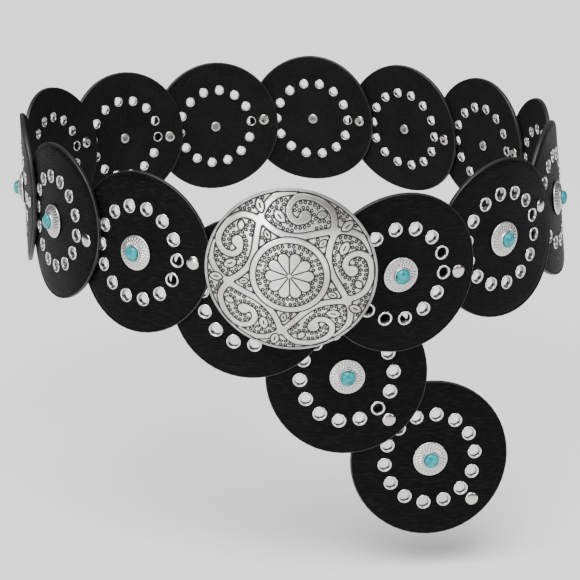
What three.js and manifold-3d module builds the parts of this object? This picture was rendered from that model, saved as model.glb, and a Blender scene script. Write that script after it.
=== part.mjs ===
// A concho belt: a chain of round leather discs, each overlapping the next and riveted to it,
// with a silver concho and a turquoise stone at the middle of each and a domed round buckle.
// The belt stands in the form that it has when it is fastened around a waist. Disc 1 carries
// the buckle, the chain runs around the back, and its free tail passes behind disc 1 and hangs.
import * as THREE from "three";
import { mergeVertices } from "three/addons/utils/BufferGeometryUtils.js";
import Module from "manifold-3d";

const wasm = await Module();
wasm.setup();

// Driving dimensions, in millimetres.
const DISC_R = 41;             // round leather disc
const LEATHER = 2.2;           // thickness of the leather
const LAP_GAP = 0.5;           // play between two lapped discs
const RIVET_INSET = 9;         // from a disc's edge in to its joining rivets
const RIVET_R = 1.6;           // shank of a joining rivet
const RIVET_HEAD_R = 3.45;     // head of a joining rivet, on both sides
const RIVET_HEAD_H = 1.1;      // height of that head
const RIVET_CROWN_R = 2.4;     // flat top of that head
const EYELETS = 14;            // holes in the ring of one disc
const EYELET_R = 2.7;          // hole through an eyelet
const RING_CLEARANCE = 2.3;    // between a rivet's head and the eyelet hole beside it
const CONCHO_R = 8.9;          // round silver concho
const CONCHO_RIM = 0.8;        // thickness of its rim
const CONCHO_H = 2.6;          // height of its crown above the leather
const BEZEL_R = 4.1;           // cup that holds the stone
const POST_R = 1.4;            // post under a concho, through the leather
const POST_HEAD_R = 3.15;      // head of that post on the inner face
const POST_HEAD_H = 0.9;       // height of that head
const STONE_R = 3.7;           // turquoise cabochon
const STONE_CROWN_R = 2.3;     // where its side turns over into its top
const STONE_GIRDLE = 0.8;      // straight side of the stone
const STONE_CROWN_H = 1.4;     // rise from there to where its top begins
const STONE_TOP_H = 0.4;       // rise of its top
const BUCKLE_R = 41.4;         // domed round buckle
const BUCKLE_SHEET = 1.4;      // thickness of its metal
const BUCKLE_RIM = 2.4;        // rim around the dome
const BUCKLE_EDGE = 0.85;      // thickness of that rim at its outer edge
const BUCKLE_DOME = 7.4;       // rise of the dome
const BUCKLE_LEAN = -7;        // degrees that its face is turned up, as the leans of the discs
const BUCKLE_TURN = 5;         // degrees that it faces towards the side of disc 13
const BUCKLE_LIFT = 0.4;       // its centre above the middle of its two fastenings
const BUCKLE_SHIFT = 1.4;      // its centre from there towards disc 1
const BUCKLE_CLEARANCE = 1.2;  // between its rim and the discs under it
const STUD_R = 1.9;            // stud behind the buckle, through disc 1
const STUD_HEAD_R = 4;         // head of that stud
const HOOK_R = 1.5;            // wire of the hook behind the buckle
const HOOK_BEND = 3;           // radius that the wire turns on, behind the leather
const HOOK_REACH = 9;          // length of the hook's finger
const HOOK_EYELET = 5;         // eyelet of that disc that the hook is in, counted from its rivet
const TUCK_CLEARANCE = 2.4;    // free space between disc 1 and the tail behind it
const HOLE_PLAY = 0.45;        // between a shank and the hole that it passes through
const SEAT_GAP = 0.3;          // between two pieces that rest on each other

// Fineness of the faceted solids.
const DISC_COLUMNS = 10;
const HOLE_SIDES = 6;
const PIN_SIDES = 8;
const CONCHO_SIDES = 10;
const STONE_SIDES = 8;
const BUCKLE_SIDES = 28;
const DOME_RINGS = 4;
const HOOK_STEPS = 8;
const HOOK_SIDES = 4;
const ROUTE_STEPS = 1200;
const RIM_STEP = 10;
const DISH_PASSES = 12;

// The route of the belt around the waist, in degrees at the centre of each disc: heading is the
// way that the chain runs seen from above, lean is how far the outer face is turned up, and
// slope is how far the line through the disc's two rivets climbs.
const ROUTE = [
  { heading: 21, lean: -6, slope: -3 },
  { heading: 40, lean: -1, slope: 22 },
  { heading: 73, lean: 6, slope: -4 },
  { heading: 101, lean: 5, slope: 8 },
  { heading: 126, lean: 8, slope: -1 },
  { heading: 143, lean: 10, slope: 5 },
  { heading: 169, lean: 8, slope: -1 },
  { heading: 198, lean: 3, slope: -7 },
  { heading: 219, lean: 1, slope: 3 },
  { heading: 249, lean: -2, slope: -7 },
  { heading: 280, lean: -1, slope: -2 },
  { heading: 305, lean: 1, slope: -8 },
  { heading: 330, lean: 2, slope: -3 },
  { heading: 354, lean: 0, slope: -32 },
  { heading: 370, lean: 0, slope: -48 },
  { heading: 370, lean: 2, slope: -46 },
];
const HOOKED_ROW = 13;         // row of the disc that the buckle is hooked into
const FIRST = 0;
const HOOKED = 13;             // disc that the buckle is hooked into, counted from the first
const LAST = ROUTE.length - 1;

// Sizes that follow from the driving ones.
const LINK = DISC_R - RIVET_INSET;
const RING_R = LINK - RIVET_HEAD_R - RING_CLEARANCE - EYELET_R;
const LAP = LEATHER + LAP_GAP;
const TUCK = LAP + LEATHER + TUCK_CLEARANCE;
const FACE = LEATHER / 2;
const ROUTE_OVERRUN = 1.5 * DISC_R;

const radians = THREE.MathUtils.degToRad;

// A smooth curve through values at rising knots, straight beyond its ends.
function smooth(knots, values) {
  const last = knots.length - 1;
  const slopes = knots.map((knot, i) => {
    const before = Math.max(i - 1, 0);
    const after = Math.min(i + 1, last);
    return (values[after] - values[before]) / (knots[after] - knots[before]);
  });
  return (at) => {
    if (at <= knots[0]) return values[0] + slopes[0] * (at - knots[0]);
    if (at >= knots[last]) return values[last] + slopes[last] * (at - knots[last]);
    const i = knots.findIndex((knot) => knot > at) - 1;
    const span = knots[i + 1] - knots[i];
    const q = (at - knots[i]) / span;
    const ease = q * q * (3 - 2 * q);
    const lead = q * (1 - q) * (1 - q) * slopes[i];
    const trail = q * q * (1 - q) * slopes[i + 1];
    return values[i] + ease * (values[i + 1] - values[i]) + span * (lead - trail);
  };
}

// The value of a sampled, straight-sided line at a place between its samples.
function sampled(places, values, at) {
  const step = places[1] - places[0];
  const i = THREE.MathUtils.clamp(Math.floor((at - places[0]) / step), 0, places.length - 2);
  const share = (at - places[i]) / step;
  return values[i] + share * (values[i + 1] - values[i]);
}

// What each disc's row of the route says. The discs from the first to the hooked one share the
// way around the waist, also when the belt is hooked tighter or wider, and the tail follows.
function alongTheRows(column) {
  const at = smooth([...ROUTE.keys()], ROUTE.map((row) => radians(row[column])));
  return ROUTE.map((row, k) => {
    const place = k <= HOOKED ? (k * HOOKED_ROW) / HOOKED : k - HOOKED + HOOKED_ROW;
    return at(Math.min(place, LAST));
  });
}

const headings = alongTheRows("heading");
const leans = alongTheRows("lean");
const slopes = alongTheRows("slope");

// The chain laid out flat: each disc is a rigid link that turns at its two rivets. "along" runs
// around the waist and "height" is upwards.
function layOut() {
  const along = [0];
  const height = [0];
  for (let k = 0; k < LAST; k++) {
    along.push(along[k] + LINK * (Math.cos(slopes[k]) + Math.cos(slopes[k + 1])));
    height.push(height[k] + LINK * (Math.sin(slopes[k]) + Math.sin(slopes[k + 1])));
  }
  const middle = height.reduce((sum, value) => sum + value) / height.length;
  return { along, height: height.map((value) => value - middle) };
}

const chain = layOut();
const headingAt = smooth(chain.along, headings);
const leanAt = smooth(chain.along, leans);
const heightAt = smooth(chain.along, chain.height);
const layerAt = smooth(chain.along, [...ROUTE.keys()]);

// The route seen from above. Its headings are added up step by step, and the little that the
// loop then misses is spread along it, so that the tail passes behind disc 1 by TUCK where they
// are nearest.
function walkRoute() {
  const begin = chain.along[FIRST] - ROUTE_OVERRUN;
  const step = (chain.along[LAST] + ROUTE_OVERRUN - begin) / ROUTE_STEPS;
  const along = [begin];
  const x = [0];
  const y = [0];
  for (let i = 0; i < ROUTE_STEPS; i++) {
    const heading = headingAt(along[i] + step / 2);
    along.push(along[i] + step);
    x.push(x[i] + Math.cos(heading) * step);
    y.push(y[i] + Math.sin(heading) * step);
  }
  const between = (low, high) => [...along.keys()].filter((i) => along[i] > low && along[i] < high);
  const front = between(-DISC_R, DISC_R);
  const tail = between(chain.along[HOOKED] - DISC_R, chain.along[HOOKED + 1] + DISC_R);
  const gaps = tail.flatMap((i) => front.filter((j) => Math.abs(x[i] - x[j]) < step).map((j) => y[i] - y[j]));
  const missed = TUCK - Math.min(...gaps);
  const shares = along.map((place) => Math.max(place / chain.along[HOOKED + 1], 0));
  const closed = y.map((value, i) => value + missed * shares[i]);
  const middleX = (Math.min(...x) + Math.max(...x)) / 2;
  const middleY = (Math.min(...closed) + Math.max(...closed)) / 2;
  return { along, x: x.map((value) => value - middleX), y: closed.map((value) => value - middleY) };
}

const route = walkRoute();

// The belt's surface at a place along the waist and a height, moved outwards by "out".
function surface(along, height, out) {
  const heading = headingAt(along);
  const lean = leanAt(along);
  const centre = heightAt(along);
  const aside = new THREE.Vector3(Math.sin(heading), -Math.cos(heading), 0);
  const up = aside.clone().multiplyScalar(-Math.sin(lean)).setZ(Math.cos(lean));
  const outward = aside.clone().multiplyScalar(Math.cos(lean)).setZ(Math.sin(lean));
  const x = sampled(route.along, route.x, along);
  const y = sampled(route.along, route.y, along);
  return new THREE.Vector3(x, y, centre).addScaledVector(up, height - centre).addScaledVector(outward, out);
}

// A place on disc k: u along the belt and v upwards from its centre, and "out" from its middle
// layer. Each disc lies over the next one, so its layer rises from behind to before.
function onDisc(k, u, v, out) {
  const along = chain.along[k] + u;
  return surface(along, chain.height[k] + v, LAP * (layerAt(along) - k) + out);
}

// The frame at a place on disc k: X along the leather, Y up it and Z straight out of it.
function frameOnDisc(k, u, v) {
  const reach = EYELET_R;
  const across = onDisc(k, u + reach, v, 0).sub(onDisc(k, u - reach, v, 0)).normalize();
  const upwards = onDisc(k, u, v + reach, 0).sub(onDisc(k, u, v - reach, 0));
  const outward = across.clone().cross(upwards).normalize();
  const upright = outward.clone().cross(across);
  return new THREE.Matrix4().makeBasis(across, upright, outward).setPosition(onDisc(k, u, v, 0));
}

// Where the rivet to the next disc, or with -1 to the one before, lies on disc k.
function rivetPlace(k, side) {
  return [side * LINK * Math.cos(slopes[k]), side * LINK * Math.sin(slopes[k])];
}

// Where eyelet i of disc k lies, counted from its rivet to the next disc.
function eyeletPlace(k, i) {
  const angle = slopes[k] + (i * 2 * Math.PI) / EYELETS;
  return [RING_R * Math.cos(angle), RING_R * Math.sin(angle)];
}

// A solid from a closed geometry.
function solidOf(geometry) {
  const bare = geometry.clone();
  bare.deleteAttribute("normal");
  bare.deleteAttribute("uv");
  const merged = mergeVertices(bare);
  const corners = Array.from(merged.index.array);
  const triangles = [];
  for (let i = 0; i < corners.length; i += 3) {
    const [a, b, c] = corners.slice(i, i + 3);
    if (a !== b && b !== c && c !== a) triangles.push(a, b, c);
  }
  return new wasm.Manifold(new wasm.Mesh({
    numProp: 3,
    vertProperties: new Float32Array(merged.attributes.position.array),
    triVerts: new Uint32Array(triangles),
  }));
}

function geometryOf(solid) {
  const mesh = solid.getMesh();
  const geometry = new THREE.BufferGeometry();
  geometry.setAttribute("position", new THREE.BufferAttribute(new Float32Array(mesh.vertProperties), 3));
  geometry.setIndex(new THREE.BufferAttribute(new Uint32Array(mesh.triVerts), 1));
  return geometry;
}

// A turned shape about Z, from [radius, height] points that start and end on the axis, from
// its bottom to its top.
function turned(profile, sides) {
  const points = profile.map(([radius, height]) => new THREE.Vector2(radius, height));
  return new THREE.LatheGeometry(points, sides).rotateX(Math.PI / 2);
}

// A straight pin about Z between two heights.
function pin(radius, low, high, sides) {
  return turned([[0, low], [radius, low], [radius, high], [0, high]], sides);
}

// The bare leather disc: two round faces in columns that follow the curve of the waist.
function discBlank(k) {
  const outline = [];
  for (let i = 0; i < 2 * DISC_COLUMNS; i++) {
    const angle = Math.PI - (Math.PI * i) / DISC_COLUMNS;
    outline.push([DISC_R * Math.cos(angle), DISC_R * Math.sin(angle)]);
  }
  const count = outline.length;
  const points = [FACE, -FACE].flatMap((out) => outline.flatMap(([u, v]) => onDisc(k, u, v, out).toArray()));
  const triangles = [];
  for (let i = 0; i < DISC_COLUMNS; i++) {
    const bottom = (count - i) % count;
    const corners = [i, bottom, bottom === 0 ? count - 1 : bottom - 1, i + 1];
    for (const [a, b, c] of [[0, 1, 2], [0, 2, 3]]) {
      const face = [corners[a], corners[b], corners[c]];
      if (new Set(face).size < 3) continue;
      triangles.push(...face, face[0] + count, face[2] + count, face[1] + count);
    }
  }
  for (let i = 0; i < count; i++) {
    const next = (i + 1) % count;
    triangles.push(i, next, next + count, i, next + count, i + count);
  }
  const geometry = new THREE.BufferGeometry();
  geometry.setAttribute("position", new THREE.BufferAttribute(new Float32Array(points), 3));
  geometry.setIndex(triangles);
  return solidOf(geometry);
}

// A joining rivet: heads over disc k and under the disc behind it, on one shank. The heads
// that are fused to the leather start at its middle. The last disc has nothing behind it, so
// there the lower head lies on its own inner face.
function rivet(k) {
  const under = k === LAST ? -FACE : -LAP - FACE - SEAT_GAP;
  const neck = k === LAST ? RIVET_HEAD_R : RIVET_R;
  return solidOf(turned([
    [0, under - RIVET_HEAD_H],
    [RIVET_HEAD_R, under - RIVET_HEAD_H],
    [RIVET_HEAD_R, under],
    [neck, under],
    [neck, 0],
    [RIVET_HEAD_R, 0],
    [RIVET_HEAD_R, FACE],
    [RIVET_CROWN_R, FACE + RIVET_HEAD_H],
    [0, FACE + RIVET_HEAD_H],
  ], PIN_SIDES).applyMatrix4(frameOnDisc(k, ...rivetPlace(k, 1))));
}

// Disc k with its holes and with the rivet that joins it to the next one. The eyelets are cut
// through at the buckle and along the tail, and the discs around the waist are left whole.
function leatherDisc(k) {
  const hole = (radius, sides, place) => {
    const cutter = pin(radius, -2 * LEATHER, 2 * LEATHER, sides);
    return solidOf(cutter.applyMatrix4(frameOnDisc(k, ...place)));
  };
  const behind = k === FIRST ? STUD_R : RIVET_R;
  let solid = discBlank(k);
  solid = solid.subtract(hole(POST_R + HOLE_PLAY, HOLE_SIDES, [0, 0]));
  solid = solid.subtract(hole(behind + HOLE_PLAY, HOLE_SIDES, rivetPlace(k, -1)));
  if (k === FIRST || k >= HOOKED - 1) {
    for (let i = 0; i < EYELETS; i++) {
      solid = solid.subtract(hole(EYELET_R, HOLE_SIDES, eyeletPlace(k, i)));
    }
  }
  return geometryOf(solid.add(rivet(k)));
}

// The concho: a shallow crown with the stone's cup on top, and a post through the leather.
function conchoGeometry() {
  const inner = -LEATHER - 2 * SEAT_GAP;
  return turned([
    [0, inner - POST_HEAD_H],
    [POST_HEAD_R, inner - POST_HEAD_H],
    [POST_HEAD_R, inner],
    [POST_R, inner],
    [POST_R, 0],
    [CONCHO_R, 0],
    [CONCHO_R, CONCHO_RIM],
    [BEZEL_R, CONCHO_H],
    [0, CONCHO_H],
  ], CONCHO_SIDES);
}

// The cabochon that sits in the cup.
function stoneGeometry() {
  return turned([
    [0, 0],
    [STONE_R, 0],
    [STONE_R, STONE_GIRDLE],
    [STONE_CROWN_R, STONE_GIRDLE + STONE_CROWN_H],
    [0, STONE_GIRDLE + STONE_CROWN_H + STONE_TOP_H],
  ], STONE_SIDES);
}

// The buckle's frame: its centre above the middle of its two fastenings, its face turned up,
// and its rim plane as far out as the discs under it ask.
function buckleFrame() {
  const stud = onDisc(FIRST, ...rivetPlace(FIRST, -1), FACE);
  const hook = onDisc(HOOKED, ...eyeletPlace(HOOKED, HOOK_EYELET), FACE);
  const centre = stud.clone().add(hook).multiplyScalar(0.5);
  centre.add(new THREE.Vector3(BUCKLE_SHIFT, 0, BUCKLE_LIFT));
  const turn = new THREE.Euler(Math.PI / 2 - radians(BUCKLE_LEAN), 0, -radians(BUCKLE_TURN), "ZXY");
  const face = new THREE.Matrix4().makeRotationFromEuler(turn);
  const outward = new THREE.Vector3().setFromMatrixColumn(face, 2);
  let reach = -Infinity;
  for (const k of [FIRST, HOOKED - 1, HOOKED, HOOKED + 1]) {
    for (let angle = 0; angle < 360; angle += RIM_STEP) {
      const across = DISC_R * Math.cos(radians(angle));
      const away = onDisc(k, across, DISC_R * Math.sin(radians(angle)), FACE).sub(centre);
      const distance = away.dot(outward);
      const aside = away.addScaledVector(outward, -distance).length();
      if (aside < BUCKLE_R + LEATHER) reach = Math.max(reach, distance);
    }
  }
  centre.addScaledVector(outward, reach + BUCKLE_CLEARANCE);
  return face.setPosition(centre);
}

const buckleAt = buckleFrame();

// The dome's outer face above the rim plane, at a radius.
function domeHeight(radius) {
  const share = Math.min(radius / (BUCKLE_R - BUCKLE_RIM), 1);
  return BUCKLE_SHEET + BUCKLE_DOME * (1 - share * share);
}

// The buckle's domed sheet, hollow behind.
function buckleDish() {
  const rings = Array.from({ length: DOME_RINGS + 1 }, (_, i) => (i * (BUCKLE_R - BUCKLE_RIM)) / DOME_RINGS);
  const inside = rings.map((radius) => [radius, domeHeight(radius) - BUCKLE_SHEET]);
  const outside = rings.map((radius) => [radius, domeHeight(radius)]).reverse();
  return solidOf(turned([
    ...inside,
    [BUCKLE_R, 0],
    [BUCKLE_R, BUCKLE_EDGE],
    ...outside,
  ], BUCKLE_SIDES).applyMatrix4(buckleAt));
}

// How far out along a frame's Z axis the middle of the buckle's sheet lies.
function reachToDish(frame) {
  const toBuckle = buckleAt.clone().invert().multiply(frame);
  let distance = 0;
  for (let pass = 0; pass < DISH_PASSES; pass++) {
    const here = new THREE.Vector3(0, 0, distance).applyMatrix4(toBuckle);
    distance += domeHeight(Math.hypot(here.x, here.y)) - BUCKLE_SHEET / 2 - here.z;
  }
  return distance;
}

// The stud soldered behind the buckle, through the hole of disc 1 that has no rivet. Its head
// is as high as a rivet's.
function stud() {
  const frame = frameOnDisc(FIRST, ...rivetPlace(FIRST, -1));
  const back = -FACE - SEAT_GAP;
  const front = reachToDish(frame);
  return solidOf(turned([
    [0, back - RIVET_HEAD_H],
    [STUD_HEAD_R, back - RIVET_HEAD_H],
    [STUD_HEAD_R, back],
    [STUD_R, back],
    [STUD_R, front],
    [0, front],
  ], PIN_SIDES).applyMatrix4(frame));
}

// The hook soldered behind the buckle: a wire through one eyelet of the hooked disc, turned aside
// behind it.
function hook() {
  const frame = frameOnDisc(HOOKED, ...eyeletPlace(HOOKED, HOOK_EYELET));
  const depth = -FACE - SEAT_GAP - HOLE_PLAY - HOOK_R;
  const at = (aside, out) => new THREE.Vector3(-aside, 0, out);
  const path = new THREE.CurvePath();
  path.add(new THREE.LineCurve3(at(0, reachToDish(frame)), at(0, depth + HOOK_BEND)));
  path.add(new THREE.QuadraticBezierCurve3(at(0, depth + HOOK_BEND), at(0, depth), at(HOOK_BEND, depth)));
  path.add(new THREE.LineCurve3(at(HOOK_BEND, depth), at(HOOK_REACH, depth)));
  const section = new THREE.Shape();
  section.absarc(0, 0, HOOK_R, 0, 2 * Math.PI);
  const fineness = { steps: HOOK_STEPS, curveSegments: HOOK_SIDES };
  const wire = new THREE.ExtrudeGeometry(section, { ...fineness, extrudePath: path });
  return solidOf(wire.applyMatrix4(frame));
}

function buckleGeometry() {
  return geometryOf(buckleDish().add(stud()).add(hook()));
}

// Materials.
const leather = () => new THREE.MeshStandardMaterial({ color: 0x191817, roughness: 0.55, metalness: 0 });
const silver = () => new THREE.MeshStandardMaterial({ color: 0xc4c6c6, roughness: 0.28, metalness: 1 });
const aged = () => new THREE.MeshStandardMaterial({ color: 0x9c9b96, roughness: 0.4, metalness: 1 });
const turquoise = () => new THREE.MeshStandardMaterial({ color: 0x2fa6b0, roughness: 0.3, metalness: 0 });

function named(name, geometry, material) {
  const mesh = new THREE.Mesh(geometry, material);
  mesh.name = name;
  return mesh;
}

// The belt. A concho and its stone are placed together, in the frame at the middle of a disc.
const belt = new THREE.Group();
belt.name = "concho_belt";
for (let k = 0; k <= LAST; k++) {
  const number = String(k + 1).padStart(2, "0");
  const setting = new THREE.Group();
  setting.applyMatrix4(frameOnDisc(k, 0, 0));
  const concho = named(`concho_${number}`, conchoGeometry(), silver());
  concho.position.z = FACE + SEAT_GAP;
  const stone = named(`stone_${number}`, stoneGeometry(), turquoise());
  stone.position.z = FACE + SEAT_GAP + CONCHO_H + SEAT_GAP;
  setting.add(concho, stone);
  belt.add(named(`disc_${number}`, leatherDisc(k), leather()), setting);
}
belt.add(named("buckle", buckleGeometry(), aged()));

export default belt;
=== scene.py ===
# %% [markdown]
# # A concho belt of lapped leather discs
#
# The belt is a chain of sixteen round black leather discs. Each one laps over the next and is
# riveted to it, carries a ring of fourteen metal eyelets, and has a silver concho with a
# turquoise stone in its middle. A large domed silver buckle closes the chain, and the end of it
# hangs free below the buckle. This lesson dresses a plain model of that belt, one kind of piece
# at a time.
#
# Everything is in metres, in the model's own frame: Z is up, and the buckle faces -Y.

# %% Load the plain model
import math

import bpy
import numpy as np
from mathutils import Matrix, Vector


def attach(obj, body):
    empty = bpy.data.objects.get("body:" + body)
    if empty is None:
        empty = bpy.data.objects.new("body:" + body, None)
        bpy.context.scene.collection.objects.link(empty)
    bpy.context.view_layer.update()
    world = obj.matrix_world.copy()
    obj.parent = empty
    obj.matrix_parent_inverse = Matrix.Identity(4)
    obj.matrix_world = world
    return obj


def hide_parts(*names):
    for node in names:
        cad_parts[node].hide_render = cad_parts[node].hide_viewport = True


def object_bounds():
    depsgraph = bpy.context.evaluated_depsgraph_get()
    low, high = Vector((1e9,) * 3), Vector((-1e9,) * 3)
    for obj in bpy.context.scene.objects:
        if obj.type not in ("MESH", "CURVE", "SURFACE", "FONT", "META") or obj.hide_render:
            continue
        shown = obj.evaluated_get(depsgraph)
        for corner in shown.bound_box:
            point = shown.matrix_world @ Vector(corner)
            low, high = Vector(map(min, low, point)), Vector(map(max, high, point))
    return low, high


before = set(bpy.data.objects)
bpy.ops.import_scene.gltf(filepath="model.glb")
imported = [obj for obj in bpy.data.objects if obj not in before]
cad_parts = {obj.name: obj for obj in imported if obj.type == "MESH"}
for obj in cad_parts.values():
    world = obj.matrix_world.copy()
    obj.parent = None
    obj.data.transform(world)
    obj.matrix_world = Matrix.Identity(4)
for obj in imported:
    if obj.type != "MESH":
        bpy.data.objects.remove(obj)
PLAIN_BOX = [list(corner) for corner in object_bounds()]
MM = 0.001
print("nodes:", len(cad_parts))
print("box:", [[round(v, 3) for v in corner] for corner in PLAIN_BOX])

# %% [markdown]
# ## The camera
#
# The photograph looks a little down on the belt from in front, through a long lens. The camera
# stands at the distance and height that make the near and far discs come out at the sizes that
# they have in the photograph, so it is placed before anything else is judged.

# %% The camera
IMAGE_SIZE = 580
SENSOR = 36.0
VIEW_FOCAL_PX = 1603.2
VIEW_PITCH = math.radians(15.58)
CAMERA_PLACE = Vector((1.65, -881.90, 196.48)) * MM

camera_data = bpy.data.cameras.new("camera")
camera_data.sensor_width = SENSOR
camera_data.lens = SENSOR * VIEW_FOCAL_PX / IMAGE_SIZE
camera = bpy.data.objects.new("camera", camera_data)
camera.location = CAMERA_PLACE
camera.rotation_euler = (math.pi / 2 - VIEW_PITCH, 0, 0)
bpy.context.collection.objects.link(camera)
bpy.context.scene.camera = camera
print("lens:", round(camera_data.lens, 1), "mm")

# %% [markdown]
# ## The route of the belt
#
# The discs are flat leather that bends around the waist, so every one of them follows the same
# curved surface. That surface is worked out from three angles at each disc: the heading seen
# from above, the lean of its face, and the slope of the line through its two rivets. Each disc
# is a rigid link that turns at its rivets, which gives its place along the waist and its height.
# The plain model is made from the same table, so the two agree.

# %% Sizes of the leather and the route around the waist
DISC_R = 41.0
LEATHER = 2.2
LAP_GAP = 0.5
RIVET_INSET = 9.0
TUCK_CLEARANCE = 2.4
SEAT_GAP = 0.3
RIVET_HEAD_R = 3.45
RIVET_HEAD_H = 1.1
EYELETS = 14
EYELET_R = 2.7
RING_CLEARANCE = 2.3
HOOKED = 13

ROUTE = [
    # heading, lean, slope
    (21, -6, -3),
    (40, -1, 22),
    (73, 6, -4),
    (101, 5, 8),
    (126, 8, -1),
    (143, 10, 5),
    (169, 8, -1),
    (198, 3, -7),
    (219, 1, 3),
    (249, -2, -7),
    (280, -1, -2),
    (305, 1, -8),
    (330, 2, -3),
    (354, 0, -32),
    (370, 0, -48),
    (370, 2, -46),
]
HEADING, LEAN, SLOPE = (np.radians(column) for column in np.array(ROUTE, float).T)
DISCS = len(ROUTE)
LINK = DISC_R - RIVET_INSET
RING_R = LINK - RIVET_HEAD_R - RING_CLEARANCE - EYELET_R
LAP = LEATHER + LAP_GAP
TUCK = LAP + LEATHER + TUCK_CLEARANCE
FACE = LEATHER / 2
STEPS = 1200


def smooth(knots, values):
    """A smooth curve through values at rising knots, straight beyond its ends."""
    knots, values = np.asarray(knots, float), np.asarray(values, float)
    slopes = np.empty_like(values)
    slopes[1:-1] = (values[2:] - values[:-2]) / (knots[2:] - knots[:-2])
    slopes[0] = (values[1] - values[0]) / (knots[1] - knots[0])
    slopes[-1] = (values[-1] - values[-2]) / (knots[-1] - knots[-2])

    def at(place):
        place = np.asarray(place, float)
        i = np.clip(np.searchsorted(knots, place, side="right") - 1, 0, len(knots) - 2)
        span = knots[i + 1] - knots[i]
        q = (place - knots[i]) / span
        rise = values[i] + q * q * (3 - 2 * q) * (values[i + 1] - values[i])
        bend = span * (q * (1 - q) ** 2 * slopes[i] - q * q * (1 - q) * slopes[i + 1])
        before = values[0] + slopes[0] * (place - knots[0])
        after = values[-1] + slopes[-1] * (place - knots[-1])
        return np.where(place <= knots[0], before, np.where(place >= knots[-1], after, rise + bend))

    return at


step_along = LINK * (np.cos(SLOPE[:-1]) + np.cos(SLOPE[1:]))
step_up = LINK * (np.sin(SLOPE[:-1]) + np.sin(SLOPE[1:]))
ALONG = np.concatenate([[0], np.cumsum(step_along)])
HEIGHT = np.concatenate([[0], np.cumsum(step_up)])
HEIGHT -= HEIGHT.mean()
heading_at = smooth(ALONG, HEADING)
lean_at = smooth(ALONG, LEAN)
height_at = smooth(ALONG, HEIGHT)
layer_at = smooth(ALONG, np.arange(DISCS))
print("length of the chain:", round(ALONG[-1] + 2 * DISC_R), "mm")

# %% [markdown]
# The route is walked step by step along its headings. The little that the loop then misses is
# spread along it, so that the tail passes behind the first disc without touching it.


# %% Walk the route
def walk_route():
    """The route's places along the waist, with their x and y about the middle of the waist."""
    begin = ALONG[0] - 1.5 * DISC_R
    step = (ALONG[-1] + 1.5 * DISC_R - begin) / STEPS
    along = begin + step * np.arange(STEPS + 1)
    heading = heading_at(along[:-1] + step / 2)
    x = np.concatenate([[0], np.cumsum(np.cos(heading)) * step])
    y = np.concatenate([[0], np.cumsum(np.sin(heading)) * step])
    front = np.abs(along) < DISC_R
    tail = (along > ALONG[HOOKED] - DISC_R) & (along < ALONG[HOOKED + 1] + DISC_R)
    near = np.abs(x[tail][:, None] - x[front][None, :]) < step
    gaps = (y[tail][:, None] - y[front][None, :])[near]
    y = y + (TUCK - gaps.min()) * np.maximum(along / ALONG[HOOKED + 1], 0)
    return along, x - (x.min() + x.max()) / 2, y - (y.min() + y.max()) / 2


WALK, WALK_X, WALK_Y = walk_route()


def on_disc(k, u, v, out):
    """Points of disc k in millimetres: u along it, v up it, out from its middle layer."""
    u, v, out = np.broadcast_arrays(*(np.asarray(value, float) for value in (u, v, out)))
    along = ALONG[k] + u
    heading, lean, centre = heading_at(along), lean_at(along), height_at(along)
    off = LAP * (layer_at(along) - k) + out
    rise = HEIGHT[k] + v - centre
    reach = off * np.cos(lean) - rise * np.sin(lean)
    x = np.interp(along, WALK, WALK_X) + np.sin(heading) * reach
    y = np.interp(along, WALK, WALK_Y) - np.cos(heading) * reach
    return np.stack([x, y, centre + rise * np.cos(lean) + off * np.sin(lean)], -1)


def frame_on_disc(k, u, v):
    """The frame at a place on disc k: X along the leather, Y up it, Z straight out of it."""
    across = on_disc(k, u + EYELET_R, v, 0) - on_disc(k, u - EYELET_R, v, 0)
    upwards = on_disc(k, u, v + EYELET_R, 0) - on_disc(k, u, v - EYELET_R, 0)
    across /= np.linalg.norm(across)
    outward = np.cross(across, upwards)
    outward /= np.linalg.norm(outward)
    axes = np.stack([across, np.cross(outward, across), outward], -1)
    return axes, on_disc(k, u, v, 0)


def rivet_place(k, side):
    """The rivet to the next disc, or with side -1 the hole for the one before."""
    return side * LINK * math.cos(SLOPE[k]), side * LINK * math.sin(SLOPE[k])


def eyelet_place(k, i):
    """Eyelet i of disc k, counted from its rivet to the next disc."""
    angle = SLOPE[k] + i * 2 * math.pi / EYELETS
    return RING_R * math.cos(angle), RING_R * math.sin(angle)


print("disc 1 is centred at", np.round(on_disc(0, 0, 0, 0), 1))

# %% [markdown]
# ## Writing materials as sums
#
# A material is a network of nodes. Writing one node at a time hides what the network means, so
# one small class wraps a socket, so that it can stand in a sum or a product like a number.
# Any other node comes from one method, which sets the node's settings first and then the values
# or links of its sockets.


# %% A socket that can be used in sums and products
class Wire:
    """One output of a node, which can be added to and multiplied by numbers and other wires."""

    def __init__(self, finish, socket):
        self.finish = finish
        self.socket = socket

    def sum_of(self, operation, first, second):
        return self.finish.node("ShaderNodeMath", {"operation": operation}, {0: first, 1: second})

    def __add__(self, other):
        return self.sum_of("ADD", self, other)

    __radd__ = __add__

    def __mul__(self, other):
        return self.sum_of("MULTIPLY", self, other)

    __rmul__ = __mul__

    def __rsub__(self, other):
        return self.sum_of("SUBTRACT", other, self)

    def between(self, low, high):
        """0 below low and 1 above high, and a straight ramp between them."""
        ramp = {0: self, 1: low, 2: high, 3: 0.0, 4: 1.0}
        return self.finish.node("ShaderNodeMapRange", {"clamp": True}, ramp)


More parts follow.
